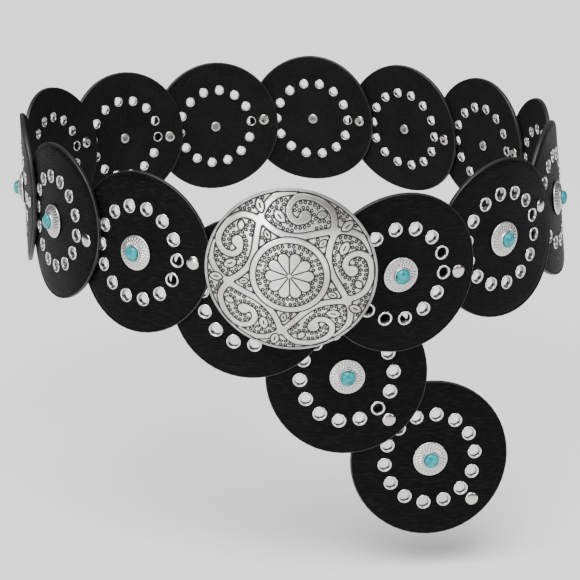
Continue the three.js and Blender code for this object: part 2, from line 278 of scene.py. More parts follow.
class Finish:
    """A material with one Principled shader, and the nodes that feed it."""

    def __init__(self, name, **fixed):
        self.material = bpy.data.materials.new(name)
        self.material.use_nodes = True
        self.tree = self.material.node_tree
        self.shader = self.tree.nodes["Principled BSDF"]
        for socket, value in fixed.items():
            self.shader.inputs[socket.replace("_", " ")].default_value = value

    def node(self, kind, settings, inputs, output=0):
        made = self.tree.nodes.new(kind)
        for name, value in settings.items():
            setattr(made, name, value)
        for name, value in inputs.items():
            if isinstance(value, Wire):
                self.tree.links.new(value.socket, made.inputs[name])
            else:
                made.inputs[name].default_value = value
        return Wire(self, made.outputs[output])

    def place(self):
        """Where a point of the surface is, in metres."""
        return self.node("ShaderNodeTexCoord", {}, {}, "Object")

    def stretched(self, scale, turn):
        """The same places drawn out along one direction, for hair lines."""
        inputs = {"Vector": self.place(), "Scale": scale, "Rotation": (0.0, turn, 0.0)}
        return self.node("ShaderNodeMapping", {}, inputs)

    def noise(self, scale, detail=3.0, rough=0.5, where=None):
        where = where or self.place()
        inputs = {"Vector": where, "Scale": scale, "Detail": detail, "Roughness": rough}
        return self.node("ShaderNodeTexNoise", {}, inputs)

    def cells(self, feature, scale):
        inputs = {"Vector": self.place(), "Scale": scale}
        return self.node("ShaderNodeTexVoronoi", {"feature": feature}, inputs)

    def blend(self, share, first, second):
        """A colour that goes from the first to the second as share goes from 0 to 1."""
        settings = {"data_type": "RGBA"}
        return self.node("ShaderNodeMix", settings, {0: share, 6: first, 7: second}, 2)

    def attribute(self, name):
        return self.node("ShaderNodeAttribute", {"attribute_name": name}, {}, "Fac")

    def bump(self, height, strength, depth):
        inputs = {"Height": height, "Strength": strength, "Distance": depth}
        return self.node("ShaderNodeBump", {}, inputs)

    def feed(self, **wires):
        for socket, wire in wires.items():
            self.tree.links.new(wire.socket, self.shader.inputs[socket.replace("_", " ")])
        return self.material


def grey(value):
    return (value, value, value, 1.0)


# %% [markdown]
# ## Leather, metal and stone
#
# The outer face of the leather is smooth, black and a little glossy, with a fine grain and faint
# streaks where it was brushed with dye. Its inner face is the matt, fuzzy flesh side. The eyelets
# are polished nickel, the rivets satin steel and the conchos pale silver. The stones are
# turquoise: a blue-green with paler clouds and a few thin dark veins.


# %% Finishes of the leather
def leather_outside():
    finish = Finish("leather_outside", Specular_IOR_Level=0.07)
    brushed = finish.noise(640.0, 4.0, 0.6, finish.stretched((0.35, 0.35, 2.4), 0.35))
    pebbles = finish.cells("SMOOTH_F1", 700.0)
    cloud = finish.noise(45.0, 2.0)
    streak = brushed.between(0.50, 0.68)
    colour = finish.blend(streak, (0.0010, 0.0010, 0.0012, 1), (0.0075, 0.0073, 0.0071, 1))
    relief = pebbles * 0.35 + brushed
    return finish.feed(
        Base_Color=colour,
        Roughness=0.40 + 0.16 * cloud + 0.12 * streak,
        Normal=finish.bump(relief, 0.8, 0.0004),
    )


def leather_inside():
    finish = Finish("leather_inside", Specular_IOR_Level=0.08)
    nap = finish.noise(620.0, 5.0, 0.7)
    cloud = finish.noise(60.0, 3.0)
    fuzz = cloud.between(0.3, 0.7) * 0.4 + nap.between(0.4, 0.65) * 0.6
    colour = finish.blend(fuzz, (0.0038, 0.0038, 0.0038, 1), (0.0120, 0.0117, 0.0112, 1))
    return finish.feed(
        Base_Color=colour,
        Roughness=0.72 + 0.2 * nap,
        Normal=finish.bump(nap, 0.5, 0.00025),
    )


def leather_edge():
    """The cut edge, dyed and rubbed smooth, with the fibres still a little open."""
    finish = Finish("leather_edge", Specular_IOR_Level=0.5)
    fibres = finish.noise(1600.0, 4.0, 0.6)
    open_fibres = fibres.between(0.35, 0.7)
    colour = finish.blend(open_fibres, (0.0025, 0.0025, 0.0025, 1), (0.016, 0.015, 0.014, 1))
    return finish.feed(
        Base_Color=colour,
        Roughness=0.30 + 0.25 * fibres,
        Normal=finish.bump(fibres, 0.4, 0.00012),
    )


# The kind of a face is its place in this list.
LEATHERS = [leather_outside(), leather_inside(), leather_edge()]
OUTSIDE, INSIDE, EDGE = range(len(LEATHERS))


# %% Finishes of the metal and the stones
def polished_nickel():
    finish = Finish("polished_nickel", Metallic=1.0)
    film_and_shade = finish.attribute("cut_and_shade")
    wear = finish.noise(3500.0, 3.0, 0.55)
    cloud = finish.noise(220.0, 2.0)
    colour = finish.blend(cloud, (0.64, 0.63, 0.615, 1), (0.80, 0.79, 0.775, 1))
    return finish.feed(
        # Painted shade: darker down the eyelets' throats and under their flanges, with duller
        # plating there.
        Base_Color=finish.blend(film_and_shade, colour, (0.16, 0.155, 0.15, 1)),
        Roughness=0.14 + 0.12 * wear + 0.06 * cloud + 0.15 * film_and_shade,
        Normal=finish.bump(wear, 0.05, 0.00002),
    )


def pressed_silver():
    """Pale pressed sheet, with the dull film that stays where a cloth doesn't reach. The post's
    head behind is darker all over, with painted shade in its dimple.
    """
    finish = Finish("pressed_silver", Metallic=1.0)
    film_and_shade = finish.attribute("cut_and_shade")
    sparkle = finish.noise(2600.0, 3.0, 0.7)
    bright = finish.blend(sparkle.between(0.35, 0.65), (0.60, 0.59, 0.57, 1), (0.86, 0.85, 0.83, 1))
    return finish.feed(
        Base_Color=finish.blend(film_and_shade * 0.85, bright, (0.12, 0.115, 0.11, 1)),
        Roughness=0.24 + 0.16 * sparkle + 0.2 * film_and_shade,
        Normal=finish.bump(sparkle, 0.25, 0.00008),
    )


def turquoise():
    finish = Finish("turquoise", Specular_IOR_Level=0.35, Coat_Roughness=0.06)
    cloud = finish.noise(420.0, 3.0, 0.55)
    vein = finish.cells("DISTANCE_TO_EDGE", 330.0)
    line = 1.0 - vein.between(0.0, 0.05)
    sky = finish.blend(cloud.between(0.35, 0.68), (0.0, 0.15, 0.185, 1), (0.0, 0.36, 0.375, 1))
    colour = finish.blend(line * 0.35 * cloud, sky, (0.03, 0.10, 0.08, 1))
    return finish.feed(
        Base_Color=colour,
        Roughness=0.12 + 0.12 * cloud,
        Coat_Weight=0.05 + 0.1 * cloud,
        Normal=finish.bump(cloud, 0.06, 0.0001),
    )


def satin_steel():
    """The rivet heads, tumbled to a soft, slightly warm shine."""
    finish = Finish("satin_steel", Metallic=1.0)
    film_and_shade = finish.attribute("cut_and_shade")
    wear = finish.noise(3000.0, 3.0, 0.6)
    cloud = finish.noise(180.0, 2.0)
    colour = finish.blend(cloud, (0.46, 0.45, 0.42, 1), (0.70, 0.685, 0.65, 1))
    return finish.feed(
        # Painted shade: the heads that look inward are darker, most in their dimples.
        Base_Color=finish.blend(film_and_shade, colour, (0.10, 0.095, 0.09, 1)),
        Roughness=0.16 + 0.16 * wear,
        Normal=finish.bump(wear, 0.08, 0.00002),
    )


NICKEL = polished_nickel()
STEEL = satin_steel()
SILVER = pressed_silver()
TURQUOISE = turquoise()

# %% [markdown]
# ## Making a piece
#
# Every piece is a mesh of points and faces in the belt's own frame, so it needs no placing
# afterwards. One helper makes the object, gives it its finishes, and lets it ride on the belt's
# one body. Round metal parts are turned: a profile of radius and height goes around an axis.


# %% Helpers that make pieces
def piece(name, points, faces, finishes, slot, kinds=None):
    """An object from points in millimetres, with one finish for each face's kind."""
    mesh = bpy.data.meshes.new(name)
    faces = [list(map(int, face)) for face in faces]
    mesh.from_pydata((np.asarray(points) * MM).tolist(), [], faces)
    for finish in finishes:
        mesh.materials.append(finish)
    if kinds is not None:
        mesh.polygons.foreach_set("material_index", np.asarray(kinds, np.int32))
    mesh.polygons.foreach_set("use_smooth", np.full(len(mesh.polygons), True))
    mesh.update()
    made = bpy.data.objects.new(name, mesh)
    bpy.context.collection.objects.link(made)
    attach(made, "root")
    return made


def mark_cuts_and_shade(made, values):
    """Keeps a value for each point, which the metal finishes read as how far to darken it: the
    patina in cuts and hollows, and painted shade in throats, dimples and towards the buckle's rim.
    """
    cuts = made.data.attributes.new("cut_and_shade", "FLOAT", "POINT").data
    cuts.foreach_set("value", values.astype(np.float32))


def spin(turn):
    """The matrix that turns flat points by an angle."""
    return np.array([[math.cos(turn), -math.sin(turn)], [math.sin(turn), math.cos(turn)]])


def net_faces(rows, count, closed=False, flipped=False):
    """The faces between the rows of a net, where each row is a ring of count points."""
    faces = []
    for row in range(rows if closed else rows - 1):
        after = (row + 1) % rows
        for i in range(count):
            j = (i + 1) % count
            along, across = row * count + j, after * count + i
            if flipped:
                along, across = across, along
            faces.append((row * count + i, along, after * count + j, across))
    return faces


def turned(profile, sides, closed=False):
    """A turned shape about Z. A closed profile is a ring, and any other one ends on the axis."""
    profile = np.asarray(profile, float)
    turns = np.arange(sides) * 2 * math.pi / sides
    radius, height = profile[:, 0], profile[:, 1]
    points = np.stack(
        [
            np.outer(radius, np.cos(turns)),
            np.outer(radius, np.sin(turns)),
            np.outer(height, np.ones(sides)),
        ],
        -1,
    ).reshape(-1, 3)
    return merged(points, net_faces(len(profile), sides, closed))


def merged(points, faces):
    """The same shape with its equal points joined, and without the faces that then vanish."""
    keys = np.round(points, 4)
    _, first, which = np.unique(keys, axis=0, return_index=True, return_inverse=True)
    which = which.reshape(-1)
    kept = []
    for face in faces:
        ring = []
        for corner in which[list(face)]:
            if corner not in ring:
                ring.append(int(corner))
        if len(ring) > 2:
            kept.append(tuple(ring))
    return points[first], kept


def placed(shape, axes, origin):
    """A shape moved into a frame."""
    points, faces = shape
    return points @ axes.T + origin, faces


def joined(shapes):
    """Several shapes as one."""
    points, faces, count = [], [], 0
    for some_points, some_faces in shapes:
        points.append(some_points)
        faces += [tuple(corner + count for corner in face) for face in some_faces]
        count += len(some_points)
    return np.concatenate(points), faces


# %% [markdown]
# ## The leather discs
#
# A disc could be a flat circle with its holes cut by a boolean, but the cut leaves long thin
# faces that crease when the disc is bent. Here each disc is laid out as a regular net instead:
# one cell for each eyelet, with rings of faces around its hole, a few rings to the centre, and a
# few to the rim, which is rounded over. The net is made once, flat, and then laid on the curved
# surface sixteen times.

# %% Lay out one disc flat
CELL_SIDE = 4
CELL_HALF = 6.0
CELL_IN = RING_R - CELL_HALF
CELL_OUT = RING_R + CELL_HALF
CELL_RINGS = (0.0, 0.3, 0.62, 1.0)
EDGE_ROUND = 0.55
EDGE_TURNS = (0, 30, 60, 90)
CREASE_R = DISC_R - 1.35
CREASE_HALF = 0.45
CREASE_DEPTH = 0.22
INNER_RINGS = [0.0, 4.0, 8.5, 13.0, CELL_IN]
CREASE_RINGS = [CREASE_R - CREASE_HALF, CREASE_R, CREASE_R + CREASE_HALF]
OUTER_RINGS = [CELL_OUT, 33.0, 36.5, *CREASE_RINGS, DISC_R - EDGE_ROUND]


def ring_of(radius, count):
    """The places of a ring of points, starting at a corner of an eyelet's cell."""
    turns = (np.arange(count) - 0.5 * CELL_SIDE) * 2 * math.pi / count
    return np.stack([radius * np.cos(turns), radius * np.sin(turns)], -1)


def eyelet_cell(i):
    """The faces around eyelet i: rings from its hole out to the border of its cell."""
    half = math.pi / EYELETS
    share = np.arange(CELL_SIDE) / CELL_SIDE
    sweep = half * (2 * share - 1)
    radii = CELL_IN + share * (CELL_OUT - CELL_IN)
    border = [(CELL_OUT, angle) for angle in sweep]
    border += [(CELL_OUT + CELL_IN - radius, half) for radius in radii]
    border += [(CELL_IN, -angle) for angle in sweep]
    border += [(radius, -half) for radius in radii]
    edge = np.array(
        [(radius * math.cos(angle), radius * math.sin(angle)) for radius, angle in border]
    )
    centre = np.array([RING_R, 0.0])
    away = edge - centre
    hole = centre + EYELET_R * away / np.linalg.norm(away, axis=1)[:, None]
    points = np.concatenate([hole + share * (edge - hole) for share in CELL_RINGS])
    faces = net_faces(len(CELL_RINGS), len(edge), flipped=True)
    return points @ spin(i * 2 * half).T, faces


def flat_face():
    """One face of a disc, without its rounded rim."""
    shapes = [eyelet_cell(i) for i in range(EYELETS)]
    count = EYELETS * CELL_SIDE
    for radii in (INNER_RINGS, OUTER_RINGS):
        rows = np.concatenate([ring_of(radius, count) for radius in radii])
        shapes.append((rows, net_faces(len(radii), count, flipped=True)))
    return merged(*joined(shapes))


def loops_of(faces):
    """The border edges of a net, each in the direction that its own face gives it."""
    edges = {(face[i], face[(i + 1) % len(face)]) for face in faces for i in range(len(face))}
    return [edge for edge in edges if edge[::-1] not in edges]


def flat_disc():
    """A whole disc laid flat: points (u, v, out), faces, and which of them are outside."""
    points, faces = flat_face()
    count = len(points)
    radius = np.hypot(*points.T)
    crease = CREASE_DEPTH * np.maximum(1 - np.abs(radius - CREASE_R) / CREASE_HALF, 0)
    high = np.column_stack([points, FACE - crease])
    low = np.column_stack([points, np.full(count, -FACE)])
    kinds = [OUTSIDE] * len(faces) + [INSIDE] * len(faces)
    every = [tuple(face) for face in faces]
    every += [tuple(corner + count for corner in face[::-1]) for face in faces]
    layers = [high, low]
    total = 2 * count
    for a, b in loops_of(faces):
        if radius[a] < CELL_OUT:
            # The wall of an eyelet hole.
            every.append((b, a, a + count, b + count))
            kinds.append(OUTSIDE)
            continue
        rim = []
        for turn in np.radians(EDGE_TURNS):
            swell = EDGE_ROUND * math.sin(turn)
            drop = EDGE_ROUND * (1 - math.cos(turn))
            rim.append((DISC_R - EDGE_ROUND + swell, FACE - drop))
        rim += [(r, -out) for r, out in rim[::-1]]
        corners = []
        for index in (a, b):
            scale = np.array([[r / radius[index] for r, _ in rim]]).T
            ring = np.column_stack([points[index] * scale, [out for _, out in rim]])
            layers.append(ring)
            corners.append(list(range(total, total + len(rim))))
            total += len(rim)
        for i in range(len(rim) - 1):
            every.append((corners[1][i], corners[0][i], corners[0][i + 1], corners[1][i + 1]))
            kinds.append(EDGE)
    return np.concatenate(layers), every, kinds


FLAT_POINTS, FLAT_FACES, FLAT_KINDS = flat_disc()
print("one disc:", len(FLAT_FACES), "faces")

# %% [markdown]
# The flat disc is turned so that one eyelet lies beside the rivet to the next disc, and then each
# of its points is laid on the belt's surface. The rim points of neighbouring faces are equal, so
# they are joined to make one closed skin.


# %% Bend the discs around the waist
def bent_disc(k):
    turn = SLOPE[k]
    u = FLAT_POINTS[:, 0] * math.cos(turn) - FLAT_POINTS[:, 1] * math.sin(turn)
    v = FLAT_POINTS[:, 0] * math.sin(turn) + FLAT_POINTS[:, 1] * math.cos(turn)
    keys = np.round(FLAT_POINTS, 4)
    _, first, which = np.unique(keys, axis=0, return_index=True, return_inverse=True)
    which = which.reshape(-1)
    points = on_disc(k, u, v, FLAT_POINTS[:, 2])[first]
    return points, [tuple(which[list(face)]) for face in FLAT_FACES]


def number(k):
    return f"{k + 1:02d}"


for k in range(DISCS):
    points, faces = bent_disc(k)
    name = f"leather_{number(k)}"
    leather = piece(name, points, faces, LEATHERS, "black_leather", FLAT_KINDS)
    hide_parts(f"disc_{number(k)}")
print("leather discs:", DISCS)

# %% [markdown]
# ## Eyelets and rivets
#
# An eyelet is one drawn tube: a wide rolled flange on the outer face, a throat that narrows into
# the barrel, and a narrow roll that grips the inner face. A closed profile turned around its axis
# gives all of that. The eyelets of one disc are one piece. A rivet has a domed head outside, a
# dimpled one inside and a shank that nobody sees.

# %% Eyelets
FLANGE_R = 3.7
BARREL_R = 2.4
ROLL_R = 3.05


def eyelet_shape():
    """A rolled flange, a throat that falls into the barrel, and a narrow roll behind."""
    profile = [
        # radius, height, how far it is darkened there: painted shade down the throat and under the
        # flange, with duller plating
        (EYELET_R + 0.1, FACE - 0.1, 0),
        (FLANGE_R, FACE - 0.1, 0.5),
        (FLANGE_R + 0.02, FACE + 0.14, 0),
        (FLANGE_R - 0.18, FACE + 0.34, 0),
        (FLANGE_R - 0.45, FACE + 0.42, 0),
        (FLANGE_R - 0.75, FACE + 0.38, 0),
        (FLANGE_R - 1.0, FACE + 0.22, 0.35),
        (EYELET_R - 0.16, FACE - 0.1, 0.8),
        (BARREL_R + 0.06, FACE - 0.6, 0.7),
        (BARREL_R, FACE - 1.1, 0.5),
        (BARREL_R, -FACE - 0.05, 0.5),
        (BARREL_R + 0.2, -FACE - 0.28, 0),
        (ROLL_R - 0.25, -FACE - 0.3, 0),
        (ROLL_R, -FACE - 0.14, 0),
        (ROLL_R, -FACE + 0.1, 0),
        (EYELET_R + 0.1, -FACE + 0.1, 0),
    ][::-1]
    radii, heights, film_and_shade = np.array(profile, float).T
    points, faces = turned(np.stack([radii, heights], -1), 32, closed=True)
    around = np.hypot(points[:, 0], points[:, 1])
    nearest = np.argmin(np.hypot(around[:, None] - radii, points[:, 2:] - heights), axis=1)
    return points, faces, film_and_shade[nearest]


# Each eyelet point keeps how far it is darkened: painted shade in the throat and under the flange.
*EYELET, EYELET_FILM_AND_SHADE = eyelet_shape()
for k in range(DISCS):
    ring = joined([placed(EYELET, *frame_on_disc(k, *eyelet_place(k, i))) for i in range(EYELETS)])
    eyelets = piece(f"eyelets_{number(k)}", *ring, [NICKEL], "nickel_trim")
    mark_cuts_and_shade(eyelets, np.tile(EYELET_FILM_AND_SHADE, EYELETS))
print("eyelets:", DISCS * EYELETS)


# %% Rivets
DIMPLE_R = 1.5
SHANK_R = 1.6
HEAD_SIDE = 0.22


def dome_outline(radius, foot, height, degrees):
    """The outline of a dome, from its foot nearly to its top."""
    turns = np.radians(degrees)
    return [(radius * math.cos(turn), foot + height * math.sin(turn)) for turn in turns]


def back_darkening_and_dimple_shade(points, below):
    """How far a head that looks inward is darkened: a little all over, and most in its dimple, as
    painted shade.
    """
    inner = points[:, 2] < below
    return inner * (0.15 + 0.65 * (np.hypot(points[:, 0], points[:, 1]) < DIMPLE_R + 0.01))


def rivet_shape(last):
    under = -FACE if last else -LAP - FACE
    rise = RIVET_HEAD_H - HEAD_SIDE
    head = dome_outline(RIVET_HEAD_R, FACE + HEAD_SIDE, rise, (0, 22, 45, 66, 82))
    back = [
        (0, under - 0.45),
        (0.9, under - 0.5),
        (DIMPLE_R, under - RIVET_HEAD_H + 0.08),
        (2.1, under - RIVET_HEAD_H),
        (RIVET_HEAD_R - 0.35, under - RIVET_HEAD_H + 0.3),
        (RIVET_HEAD_R, under - HEAD_SIDE),
    ]
    shank = [(RIVET_HEAD_R, under), (SHANK_R, under), (SHANK_R, FACE), (RIVET_HEAD_R, FACE)]
    top = (0, FACE + RIVET_HEAD_H)
    points, faces = turned([*back, *shank, *head, top], 28)
    return points, faces, back_darkening_and_dimple_shade(points, FACE)


for k in range(DISCS):
    *rivet, film_and_shade = rivet_shape(k == DISCS - 1)
    rivet = placed(rivet, *frame_on_disc(k, *rivet_place(k, 1)))
    mark_cuts_and_shade(piece(f"rivet_{number(k)}", *rivet, [STEEL], "nickel_trim"), film_and_shade)
print("rivets:", DISCS)

# %% [markdown]
# ## Conchos and stones
#
# A concho is pressed from thin sheet: a flat rim, a low crown with two tiers of fine flutes that
# run out from the middle, and a cup that holds the stone. The flutes are a ripple on a turned
# shape, so the points are moved up and down by a wave around the axis that fades at the rim
# and at the cup.

# %% Conchos
CONCHO_R = 8.9
CONCHO_H = 2.6
CUP_R = 4.15
FLUTES = 26
FLUTE_DEPTH = 0.26
TIER_R = 6.5
CROWN_BEGIN = CONCHO_R - 0.9
CROWN_END = CUP_R + 0.35
SEAMS = (CONCHO_R - 0.75, TIER_R, CUP_R + 0.3)
SEAM_HALF = 0.16
CONCHO_BASE = FACE + SEAT_GAP
POST_R = 1.4
STONE_LIFT = 0.3


def concho_shape():
    crown = [
        (CROWN_BEGIN - (CROWN_BEGIN - CROWN_END) * t, 0.75 + 1.25 * t ** 0.8)
        for t in np.linspace(0, 1, 9)
    ]
    profile = [
        (0, -0.25),
        (CONCHO_R - 0.15, -0.25),
        (CONCHO_R, -0.05),
        (CONCHO_R, 0.45),
        (CONCHO_R - 0.22, 0.72),
        (CONCHO_R - 0.6, 0.78),
        *crown,
        (CUP_R + 0.22, 2.2),
        (CUP_R + 0.12, CONCHO_H + 0.35),
        (CUP_R - 0.12, CONCHO_H + 0.5),
        (CUP_R - 0.38, CONCHO_H + 0.35),
        (CUP_R - 0.4, CONCHO_H),
        (0, CONCHO_H),
    ]
    points, faces = turned(profile, FLUTES * 6)
    radius = np.hypot(points[:, 0], points[:, 1])
    turn = np.arctan2(points[:, 1], points[:, 0])
    off_rim = np.clip((SEAMS[0] - radius) / 0.7, 0, 1)
    off_cup = np.clip((radius - SEAMS[-1]) / 0.5, 0, 1)
    share = off_rim * off_cup
    on_top = points[:, 2] > 0.6
    outer_tier = radius > TIER_R
    wave = np.abs(np.cos(turn * FLUTES / 2 + outer_tier * math.pi / 2))
    points[:, 2] += on_top * share * FLUTE_DEPTH * (wave * 2 - 1.2)
    seam = sum(np.exp(-(((radius - at) / SEAM_HALF) ** 2)) for at in SEAMS)
    film_and_shade = np.clip(share * (1 - wave) ** 1.5 + 0.7 * seam, 0, 1)
    return points, faces, on_top * film_and_shade


def back_shape():
    """The head of the post on the inner face, with its dimple."""
    foot = -LEATHER - 2 * SEAT_GAP
    return turned(
        [
            (0, foot - 0.35),
            (1.0, foot - 0.4),
            (DIMPLE_R, foot - 0.85),
            (2.5, foot - 0.8),
            (3.05, foot - 0.45),
            (3.15, foot),
            (POST_R, foot),
            (POST_R, 0),
            (0, 0),
        ],
        28,
    )


STONE_R = 3.7
STONE_GIRDLE = 0.8
STONE_DOME = 1.8


def stone_shape():
    """A polished cabochon: a short straight side and an even dome."""
    rise = dome_outline(STONE_R, STONE_GIRDLE, STONE_DOME, (0, 14, 28, 42, 56, 70, 82))
    return turned([(0, 0), (STONE_R, 0), *rise, (0, STONE_GIRDLE + STONE_DOME)], 36)


CROWN_POINTS, CROWN_FACES, CROWN_FILM = concho_shape()
CONCHO_BACK = back_shape()
CONCHO = joined([(CROWN_POINTS, CROWN_FACES), CONCHO_BACK])
# The post's head behind is darker all over, with painted shade in its dimple.
CONCHO_FILM_AND_SHADE = np.concatenate([CROWN_FILM, 0.2 + back_darkening_and_dimple_shade(CONCHO_BACK[0], 0)])
STONE = stone_shape()
for k in range(DISCS):
    axes, middle = frame_on_disc(k, 0, 0)
    seat = middle + CONCHO_BASE * axes[:, 2]
    name = f"silver_concho_{number(k)}"
    concho = piece(name, *placed(CONCHO, axes, seat), [SILVER], "nickel_trim")
    mark_cuts_and_shade(concho, CONCHO_FILM_AND_SHADE)
    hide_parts(f"concho_{number(k)}")
    cup = seat + (CONCHO_H + STONE_LIFT) * axes[:, 2]
    name = f"cabochon_{number(k)}"
    stone = piece(name, *placed(STONE, axes, cup), [TURQUOISE], "turquoise")
    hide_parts(f"stone_{number(k)}")
print("conchos and stones:", DISCS)

# %% [markdown]
# ## The engraving of the buckle
#
# The buckle's face is engraved by hand: a rosette of ten petals in a ring, five scrolls around
# it on plain curving bands, small leaves between them, and a ground stippled with tiny circles.
# Each plain form is a shape with a signed distance: strokes along a smooth curve, discs and
# leaves. The smallest distance of them all says where the ground is, and its zero is the line
# that the graver cuts. The whole design turns in five steps, so only one fifth is described.

# %% Curves and leaves of one fifth of the design
FIFTHS = 5
PETALS = 10
PETAL_REACH = 9.0
ROSETTE_EYE = 1.3
RING_IN = 16.1
RING_OUT = 19.3
DOME_EDGE = 39.0
BAND_HALF = 1.65
JOIN_FLARE = 1.4
RIM_LINE_R = 39.9
BALL_R = 3.0

BAND = [
    # radius, degrees from the middle of the scroll
    (30.4, 44.5),
    (25.4, 39.5),
    (21.4, 30),
    (19.6, 16),
    (20.4, 1),
    (23.6, -12),
    (28.6, -23.5),
    (34.4, -34),
    (38.4, -44.5),
    (40.2, -57),
]
SCROLL = [
    (29.8, -25.5),
    (33.8, -20.5),
    (37.0, -13),
    (38.6, 0),
    (37.8, 11),
    (34.0, 17.5),
    (29.2, 17.5),
    (26.7, 11),
    (27.4, 5),
]
BALL = (29.5, 3.5)
LEAVES = [
    # radius, degrees, direction in degrees, length, width, whether it has a midrib
    (33.0, -9.5, 118, 5.0, 3.6, False),
    (36.0, -31.0, -35, 7.0, 4.4, True),
    (29.0, 27.0, 62, 7.4, 4.6, True),
    (22.5, -26.5, -26, 5.0, 3.2, True),
]


def from_polar(radius, degrees):
    turn = np.radians(degrees)
    return np.stack([radius * np.cos(turn), radius * np.sin(turn)], -1)


def curve_through(places):
    """Short steps along a smooth curve through places given as radius and degrees."""
    corners = np.array([from_polar(*place) for place in places])
    knots = np.arange(len(corners))
    fine = np.linspace(0, len(corners) - 1, 8 * len(corners))
    return np.stack([smooth(knots, corners[:, axis])(fine) for axis in (0, 1)], -1)


def to_curve(spots, curve):
    """The distance from each spot to a curve."""
    nearest = np.full(len(spots), np.inf)
    for begin, end in zip(curve[:-1], curve[1:]):
        step = end - begin
        share = np.clip((spots - begin) @ step / (step @ step), 0, 1)
        away = spots - begin - share[:, None] * step
        nearest = np.minimum(nearest, np.hypot(*away.T))
    return nearest


def to_leaf(spots, radius, degrees, direction, length, width):
    """The signed distance to a pointed leaf, and the place along and across it."""
    away = spots - from_polar(radius, degrees)
    turn = math.radians(direction)
    along = away[:, 0] * math.cos(turn) + away[:, 1] * math.sin(turn)
    across = -away[:, 0] * math.sin(turn) + away[:, 1] * math.cos(turn)
    bulge = (length * length / width - width) / 4
    arc = bulge + width / 2
    return np.hypot(along, np.abs(across) + bulge) - arc, along, across


# %% Draw the design
LINE_HALF = 0.40
DOT_R = 0.62
DOT_STEP = 2.05
DOT_ROWS = (1.0, 2.95, 4.9)


def flared(first, second):
    """The smaller of two distances, with a soft flare where two forms meet."""
    blend = np.maximum(JOIN_FLARE - np.abs(first - second), 0) / JOIN_FLARE
    return np.minimum(first, second) - blend * blend * JOIN_FLARE / 4


def in_fifths(spots):
    """The spots as each of the five repeats of the design sees them."""
    for fifth in range(FIFTHS):
        yield spots @ spin(2 * math.pi * fifth / FIFTHS)


def bands_and_scrolls(spots):
    """The signed distance to the ring and all that grows out of it without a line between."""
    band, scroll = curve_through(BAND), curve_through(SCROLL)
    radius = np.hypot(*spots.T)
    plain = np.maximum(RING_IN - radius, radius - RING_OUT)
    for seen in in_fifths(spots):
        plain = flared(plain, to_curve(seen, band) - BAND_HALF)
        plain = flared(plain, to_curve(seen, scroll) - BAND_HALF)
        plain = flared(plain, np.hypot(*(seen - from_polar(*BALL)).T) - BALL_R)
    return plain


def leaves(spots):
    """The signed distance to the leaves, and to the midribs in them."""
    leaf = np.full(len(spots), np.inf)
    rib = np.full(len(spots), np.inf)
    for seen in in_fifths(spots):
        for radius, degrees, direction, length, width, ribbed in LEAVES:
            edge, along, across = to_leaf(seen, radius, degrees, direction, length, width)
            leaf = np.minimum(leaf, edge)
            if ribbed:
                rib = np.minimum(rib, np.hypot(across, np.maximum(np.abs(along) - length / 7, 0)))
    return leaf, rib


def rosette(radius, turn):
    """The signed distance to the petals, and the cuts between them."""
    half = math.pi / PETALS
    aside = np.abs((turn + half) % (2 * half) - half)
    beyond = radius * np.cos(aside) - PETAL_REACH
    end = np.hypot(beyond, radius * np.sin(aside)) - PETAL_REACH * math.sin(half)
    petal = np.where(beyond < 0, beyond, end)
    cut_end = radius * np.cos(half - aside) < PETAL_REACH
    between = np.where(cut_end, radius * np.sin(half - aside), np.inf)
    return np.minimum(petal, end), np.maximum(between, ROSETTE_EYE - radius)


def dots_on(spots, plain):
    """Middles of the stippled circles, in rows that follow the edges of the ground."""
    open_spots = plain > DOT_ROWS[0]
    middles = []
    last = np.array([0.0, RING_IN])
    for row in DOT_ROWS:
        while True:
            pool = np.flatnonzero(open_spots & (plain < row + 0.3))
            if not len(pool):
                break
            last = spots[pool[np.argmin(np.sum((spots[pool] - last) ** 2, axis=1))]]
            middles.append(last)
            open_spots &= np.sum((spots - last) ** 2, axis=1) > DOT_STEP ** 2
    return np.array(middles)


def engraving(spots):
    """How deeply the graver has cut at each spot, from 0 to 1."""
    radius, turn = np.hypot(*spots.T), np.arctan2(spots[:, 1], spots[:, 0])
    plain = np.where(radius < RING_IN, RING_IN - radius, bands_and_scrolls(spots))
    leaf, rib = leaves(spots)
    petals, between = rosette(radius, turn)
    lines = np.where(leaf < 0, np.inf, np.abs(plain))
    plain = np.minimum.reduce([plain, leaf, RIM_LINE_R - radius, petals])
    edges = [np.abs(leaf), np.abs(petals), np.abs(RIM_LINE_R - radius), np.abs(radius - RING_OUT)]
    lines = np.minimum.reduce([lines, rib, between, *edges])
    for middle in dots_on(spots, plain):
        near = np.flatnonzero(np.abs(spots[:, 0] - middle[0]) < 2 * DOT_R)
        ring_line = np.abs(np.hypot(*(spots[near] - middle).T) - DOT_R)
        lines[near] = np.minimum(lines[near], ring_line)
    return np.clip(1.15 - lines / LINE_HALF, 0, 1) * (radius < RIM_LINE_R + LINE_HALF)


print("leaves in the design:", FIFTHS * len(LEAVES))

# %% [markdown]
# ## The buckle
#
# The buckle is one domed sheet with a plain narrow rim. Its face is a fine net of even cells, so
# that the cuts have real depth and catch the light, and each point keeps how deeply it is cut.
# The finish uses that to leave the dark patina in the cuts, as polishing does on aged silver.
# Each point also keeps a painted shade that grows towards the edge of the dome and on its rim.
# The sheet's inside, the stud through the first disc and the hook through an eyelet of the last
# disc of the loop are a second piece.

# %% Where the buckle is
BUCKLE_R = 41.4
BUCKLE_SHEET = 1.4
BUCKLE_EDGE = 0.85
BUCKLE_DOME = 7.4
BUCKLE_LEAN = math.radians(-7)
BUCKLE_TURN = math.radians(5)
BUCKLE_LIFT = 0.4
BUCKLE_SHIFT = 1.4
BUCKLE_CLEARANCE = 1.2
HOOK_EYELET = 5
HOOK_R = 1.5
HOOK_BEND = 3.0
HOLE_PLAY = 0.45
HOOK_REACH = 9.0
HOOK_POINT = 0.8
WIRE_SIDES = 20
STUD_R = 1.9
STUD_HEAD_R = 4.0


